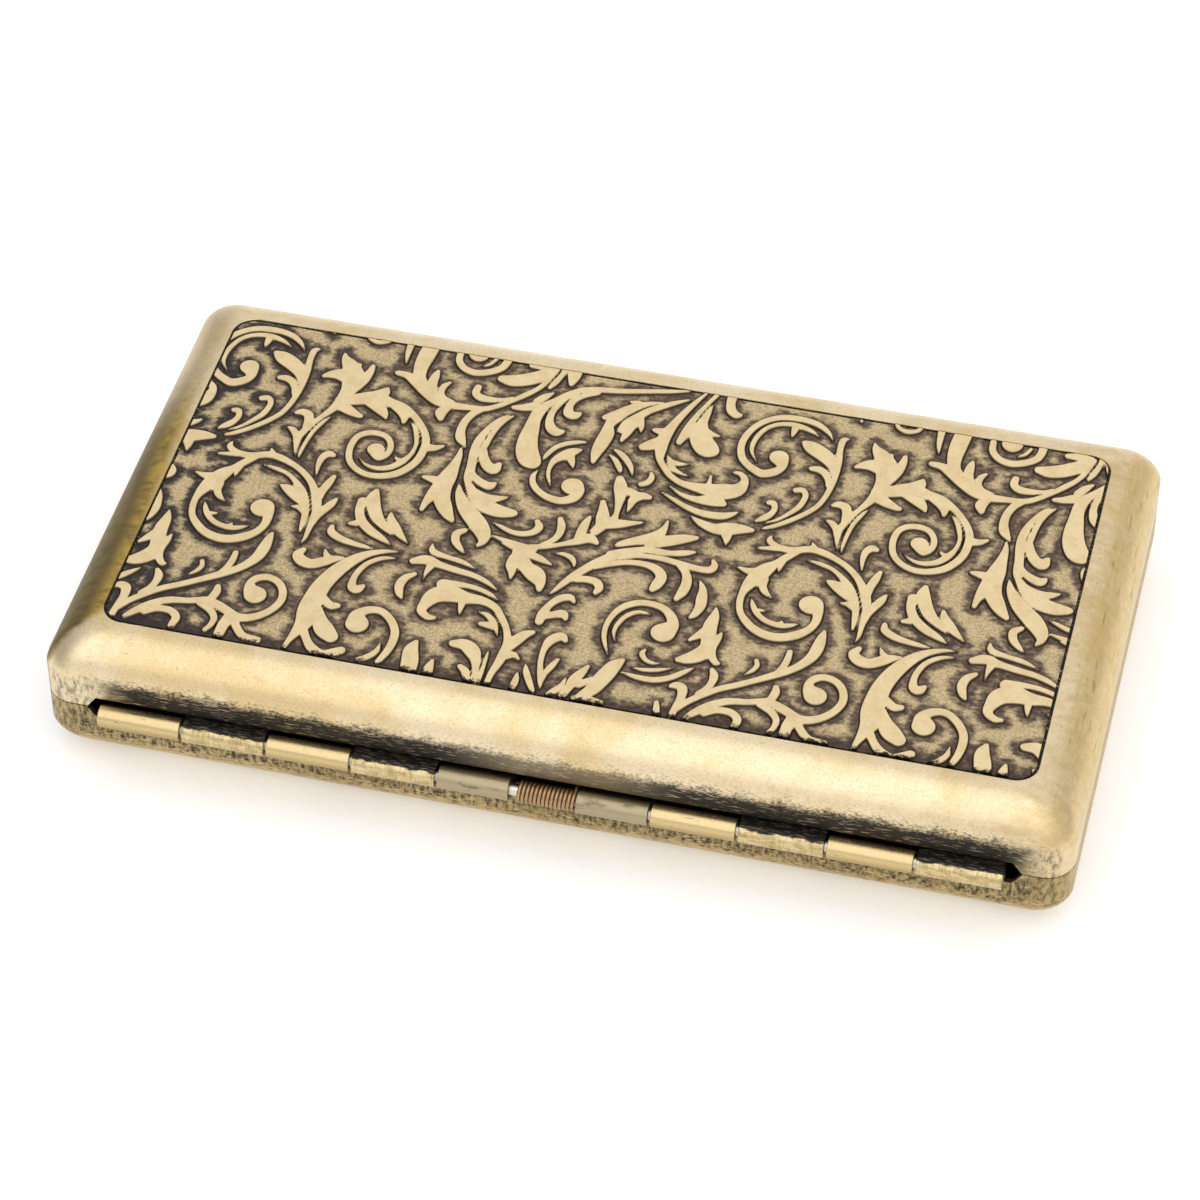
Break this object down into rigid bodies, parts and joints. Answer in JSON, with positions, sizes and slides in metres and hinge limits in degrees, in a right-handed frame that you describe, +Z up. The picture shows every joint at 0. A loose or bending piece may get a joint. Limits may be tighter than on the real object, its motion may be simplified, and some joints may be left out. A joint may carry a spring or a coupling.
{
  "type": "needle case",
  "caption": "Shallow hinged brass case with a raised scroll panel, spring hinge, press-button latch, magnetic sheet and felt pad for needles.",
  "frame": {"origin": "centre of the flat face that the shut case lies on, midway along its length and midway between the outer faces of the front and rear walls", "axes": "+X along the case's length, +Y from the hinge to the button, +Z up from the base to the lid"},
  "size_m": [0.11, 0.0638, 0.0166],
  "materials": {
    "antique_brass_base": "patinated satin",
    "antique_brass_lid": "patinated satin, dark in the hollows of the pattern",
    "hinge_brass": "rubbed, dark in the gaps",
    "bracket_brass": "dull",
    "pin_steel": "drawn wire",
    "spring_bronze": "dark phosphor bronze wire",
    "button_brass": "polished by use",
    "leaf_bronze": "rolled strip",
    "catch_brass": "satin",
    "magnet_rubber": "matte flexible magnetic sheet",
    "felt_wine": "wool felt",
    "elastic_black": "woven elastic",
    "clip_brass": "satin"
  },
  "bodies": {
    "base": {"base_shell": "antique_brass_base", "base_hinge_leaf": "hinge_brass", "spring_bracket": "bracket_brass", "hinge_pin": "pin_steel", "torsion_spring": "spring_bronze", "latch_leaf": "leaf_bronze", "magnet_sheet": "magnet_rubber"},
    "lid": {"lid_shell": "antique_brass_lid", "lid_hinge_leaf": "hinge_brass", "lid_catch": "catch_brass", "felt_pad": "felt_wine", "elastic_strap": "elastic_black", "strap_clips": "clip_brass"},
    "latch": {"latch_button": "button_brass"}
  },
  "joints": [
    {"name": "lid_hinge", "type": "hinge", "parent": "base", "child": "lid", "pos_m": [0, -0.03115, 0.0083], "axis": [1, 0, 0], "range_deg": [0, 180], "deforming": ["torsion_spring", "latch_leaf"]},
    {"name": "latch_press", "type": "slide", "parent": "base", "child": "latch", "axis": [0, -1, 0], "range_m": [0, 0.0009], "stiffness_N_per_m": 1500, "springref_m": -0.0003, "deforming": ["latch_leaf"]}
  ]
}
